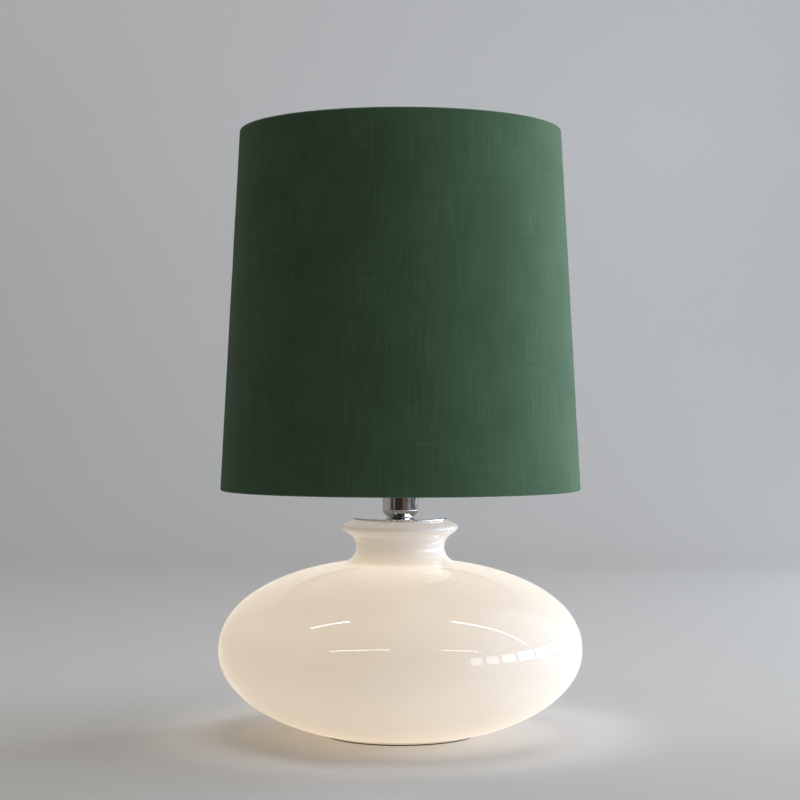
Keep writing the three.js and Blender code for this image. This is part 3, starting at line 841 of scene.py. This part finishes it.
def make_cup():
    """A thin cup, narrower at its foot."""
    low, high, radius = extent("lampholder_cup")
    wall, seat = 1.0, 13.9
    corners = [
        (TUBE_HOLE, low, 0),
        (seat, low, 1.3),
        (radius, low + 6.0, 2.4),
        (radius, high, 0.5),
        (radius - wall, high, 0.4),
        (radius - wall, low + 6.6, 2.0),
        (seat - 0.7, low + wall, 1.0),
        (TUBE_HOLE, low + wall, 0),
    ]
    stand_for(turned("chrome_cup", rounded(corners, 8), 128), "lampholder_cup")


def make_collar():
    """The collar with its rolled outside thread, and the two rings that run on it."""
    low, high, radius = extent("lampholder_collar")
    shoulder = extent("lampholder_cup")[1] + 0.3
    inner, skirt, pitch = 17.2, 18.7, 2.54
    lip, lip_height = inner - 0.6, 1.5
    thread_low, thread_high = shoulder + 0.4, high - 0.9
    outer = [(radius, z) for z in levels(thread_low, thread_high, pitch / 8)]
    outline = [(inner, low), (skirt, low), (skirt, shoulder), (radius - 0.4, shoulder), *outer]
    outline += [(radius - 1, high), (lip, high)]
    outline += [(lip, high - lip_height), (inner, high - lip_height)]
    cut = thread(pitch, 0.7, thread_low, thread_high, radius - 0.1)
    stand_for(turned("threaded_collar", outline, 72, cut), "lampholder_collar")
    for node in ("shade_ring_lower", "shade_ring_upper"):
        make_shade_ring(node)


def make_shade_ring(node):
    """A turned ring with a notched rim to grip."""
    low, high, radius = extent(node)
    bore, notches, depth = 20.1, 36, 0.55
    rim = 1.6  # how far in the notches run
    corners = [
        (bore, low, 0.3),
        (radius - 1.0, low, 0.4),
        (radius, low + 0.7, 0.4),
        (radius, high - 0.7, 0.4),
        (radius - 1.0, high, 0.4),
        (bore + 1.6, high, 0.5),
        (bore + 1.0, high - 0.5, 0.3),
        (bore, high - 0.5, 0.3),
    ]

    def notched(angle, r, z):
        if r < radius - rim:
            return r, z
        dip = max(0.0, math.cos(notches * angle)) ** 2
        return r - depth * dip, z

    stand_for(turned(f"notched_{node}", rounded(corners), notches * 10, notched), node)


# ---------------------------------------------------------------- bulbs

PITCH = {"bulb": 3.629, "inner_bulb": 2.822}  # of each bulb's screw cap


def bulb_outline(neck, cap_end, centre, radius, wall):
    """A bulb's glass from its crown down the outside to the cap, and back up inside it, measured up
    from the cap. The flank leaves the neck straight and runs into the round part."""
    join, steps = -40, 18
    flare = arc((0, centre), radius, 90, join, 40)
    end = Vector(flare[-1])
    slope = Vector((-math.sin(math.radians(join)), math.cos(math.radians(join))))
    start = Vector((neck, cap_end))
    reach = (end - start).length * 0.42
    handles = [end, end - slope * reach, start + Vector((0, reach)), start]

    def flank(t):
        """A point on the smooth curve between the handles."""
        weights = [(1 - t) ** 3, 3 * t * (1 - t) ** 2, 3 * t * t * (1 - t), t**3]
        return sum((h * w for h, w in zip(handles, weights)), Vector((0, 0)))

    outer = [(0, centre + radius), *flare[1:]]
    outer += [tuple(flank(i / steps)) for i in range(1, steps + 1)]
    outer.append((neck, cap_end - 4))
    inner = [(max(0.0, r - wall), z) for r, z in outer[::-1]]
    inner[-1] = (0, centre + radius - wall)
    return outer + inner


def make_bulb(prefix, name, look=None):
    """The screw cap with its rolled thread, and the glass, of the bulb whose CAD nodes start with
    prefix. The inner bulb hangs upside down."""
    cap_low, cap_high, cap_radius = extent(f"{prefix}_cap")
    glass_low, glass_high, radius = extent(f"{prefix}_glass")
    hangs = glass_low < cap_low
    foot = cap_high if hangs else cap_low

    def upright(z):
        """A height up from the bulb's contact, as a height in the lamp."""
        return foot - z if hangs else foot + z

    cap = cap_high - cap_low
    crown = foot - glass_low if hangs else glass_high - foot
    glass = bulb_outline(cap_radius - 0.9, cap + 0.4, crown - radius, radius, 0.8)
    glass = turned(f"{name}_envelope", [(r, upright(z)) for r, z in glass], 96)
    stand_for(glass, f"{prefix}_glass", look=look)

    pitch, depth = PITCH[prefix], 0.075 * cap_radius
    thread_low, thread_high = 2.2, cap - 1.2
    shoulder = cap_radius * 0.72 + 0.3
    inside = cap_radius - 0.5 - depth
    outline = [
        (shoulder, 0.0),
        (cap_radius - 1.3, 0.7),
        (cap_radius - 0.4, 1.5),
        *((cap_radius, z) for z in levels(thread_low, thread_high, pitch / 10)),
        (cap_radius - 0.2, cap),
        (cap_radius - 0.5, cap),
        (inside, cap - 1.5),
        (inside, 2.4),
        (shoulder, 1.1),
    ]

    def rolled(angle, r, z):
        if r < cap_radius - 0.1:
            return r, z
        up = foot - z if hangs else z - foot
        fade = max(0.0, min(1.0, (up - thread_low) / pitch, (thread_high - up) / pitch))
        turn = z / pitch - angle / TURN
        return r - depth * fade * (0.5 - 0.5 * math.cos(TURN * turn)) ** 0.7, z

    shell = turned(f"{name}_screw_cap", [(r, upright(z)) for r, z in outline], 72, rolled)
    stand_for(shell, f"{prefix}_cap")


# ---------------------------------------------------------------- shade

SHADE = {
    "cloth": 0.7,  # thickness
    "film": 0.6,  # thickness
    "gap": 0.3,  # from the cloth to the film
    "hem": 12,  # height of the turned-in cloth
    "fold": 2.4,  # height of the cloth's turn over each ring
    "tuck": 5.2,  # from the shade's face to the glued side of the turned-in cloth
    "seam": 11,  # width of the overlap down the back
    "over_ring": 1.9,  # from the top ring's outside to the shade's face
}


def shade_radius(z, inset=0.0):
    """Radius of the shade's face at a height, or of a wall set in from it."""
    low, high, bottom_radius = extent("shade_fabric")
    top_radius = extent("top_ring")[2] + SHADE["over_ring"]
    share = (z - low) / (high - low)
    return bottom_radius + (top_radius - bottom_radius) * share - inset


def make_shade_cloth():
    """The cloth, glued round the film and turned in over the ring at each rim, with its overlapped
    seam down the back."""
    low, high, _ = extent("shade_fabric")
    cloth, fold, hem = SHADE["cloth"], SHADE["fold"], SHADE["hem"]
    inset = SHADE["tuck"] + cloth  # from the shade's face to the turned-in cloth's seen side
    partway = 7  # up the turned-in cloth, from the rim

    def rim(z, up):
        """Points over a rim from the outer face to the inner, as a flattened arch."""
        centre, half, steps = z - up * fold, inset / 2, 12
        points = []
        for i in range(steps + 1):
            angle = math.pi * i / steps
            rise = fold * math.sin(angle) ** 0.8
            points.append((half - half * math.cos(angle), centre + up * rise))
        return points

    # The cloth's seen side as (distance in from the shade's face, height), then its glued side.
    outer = [(0.0, z) for z in levels(low + fold, high - fold, 5.0)]
    path = [(inset, low + hem), (inset, low + partway), *rim(low, -1)[::-1], *outer[1:-1]]
    path += [*rim(high, 1), (inset, high - partway), (inset, high - hem)]
    back = []
    for i, (d, z) in enumerate(path):
        before, after = Vector(path[max(0, i - 1)]), Vector(path[min(len(path) - 1, i + 1)])
        along = (after - before).normalized()
        back.append((d + along.y * cloth, z - along.x * cloth))
    outline = [(shade_radius(z, d), z) for d, z in path + back[::-1]]
    seam = SHADE["seam"] / shade_radius((low + high) / 2) / 2

    def worked(angle, r, z):
        """Small unevenness of glued cloth, and the step of the overlap."""
        at = Vector((math.sin(angle) * 9, math.cos(angle) * 9, z * 0.018))
        off = 0.22 * noise.noise(at) + 0.10 * noise.noise(at * 3.7) - 0.25
        outside = r > shade_radius(z, inset * 0.45)
        lap = 0.55 if outside and abs(angle - math.pi) < seam else 0.0
        return r + off + lap, z

    return stand_for(turned("linen_cover", outline, 360, worked, 50), "shade_fabric")


def make_shade_film():
    """The liner, a thin cone inside the cloth."""
    low, high, _ = extent("shade_liner")
    outer = SHADE["cloth"] + SHADE["gap"]
    inner = outer + SHADE["film"]
    rows = levels(low, high, 20)
    outline = [(shade_radius(z, outer), z) for z in rows]
    outline += [(shade_radius(z, inner), z) for z in rows[::-1]]
    return stand_for(turned("film_liner", outline, 256), "shade_liner")


def make_shade_frame():
    """Two wire rings, a stamped hub, and three arms from the hub to the lower ring."""
    rings = []
    for node in ("top_ring", "bottom_ring"):
        low, high, outer = extent(node)
        wire = (high - low) / 2
        section = arc((outer - wire, (low + high) / 2), wire, 0, 360, 14)[:-1]
        rings.append(stand_for(turned(f"wire_{node}", section, 192), node))
    low, high, radius = extent("spider_hub")
    bore = 20.4
    corners = [
        (bore, low, 0.3),
        (radius - 0.2, low, 0.5),
        (radius, high - 0.9, 0.4),
        (radius - 1.2, high - 0.3, 0.5),
        (bore + 3.4, high - 0.6, 0.8),
        (bore + 2.2, high, 0.5),
        (bore, high, 0.4),
    ]
    stand_for(turned("stamped_hub", rounded(corners), 128), "spider_hub")
    for number in (1, 2, 3):
        make_arm(f"spider_arm_{number}")
    return rings


def make_arm(node):
    """A wire through the middle of the CAD arm, which slopes down from the hub to the ring."""
    points = [vertex.co for vertex in frame["nodes"][node].data.vertices]
    spread = [(point.x**2 + point.y**2, point) for point in points]  # square metres from the axis
    nearest = min(square for square, _ in spread)
    farthest = max(square for square, _ in spread)
    near = [point for square, point in spread if square < nearest + 0.0002]
    far = [point for square, point in spread if square > farthest - 0.002]
    start, end = (sum(group, Vector()) / len(group) for group in (near, far))
    stand_for(rod(f"welded_{node}", start, end, 1.5 * MM), node)


def make_shade():
    cloth = make_shade_cloth()
    film = make_shade_film()
    rings = make_shade_frame()


# ---------------------------------------------------------------- the whole lamp

make_camera()
make_world()
make_stage()
make_lights()
LOOKS = make_looks()
for node, cad in frame["nodes"].items():
    cad.data.materials.clear()
    cad.data.materials.append(LOOKS[SLOT_OF[node]])

make_glass_body()
make_grommet()
make_foot()
make_cap()
make_cup()
make_collar()
make_bulb("bulb", "upper_bulb")
make_bulb("inner_bulb", "inner_bulb_lit", bulb_glass("lit_bulb_glass", 6.0))
make_shade()

bpy.context.scene.view_settings.view_transform = "Standard"
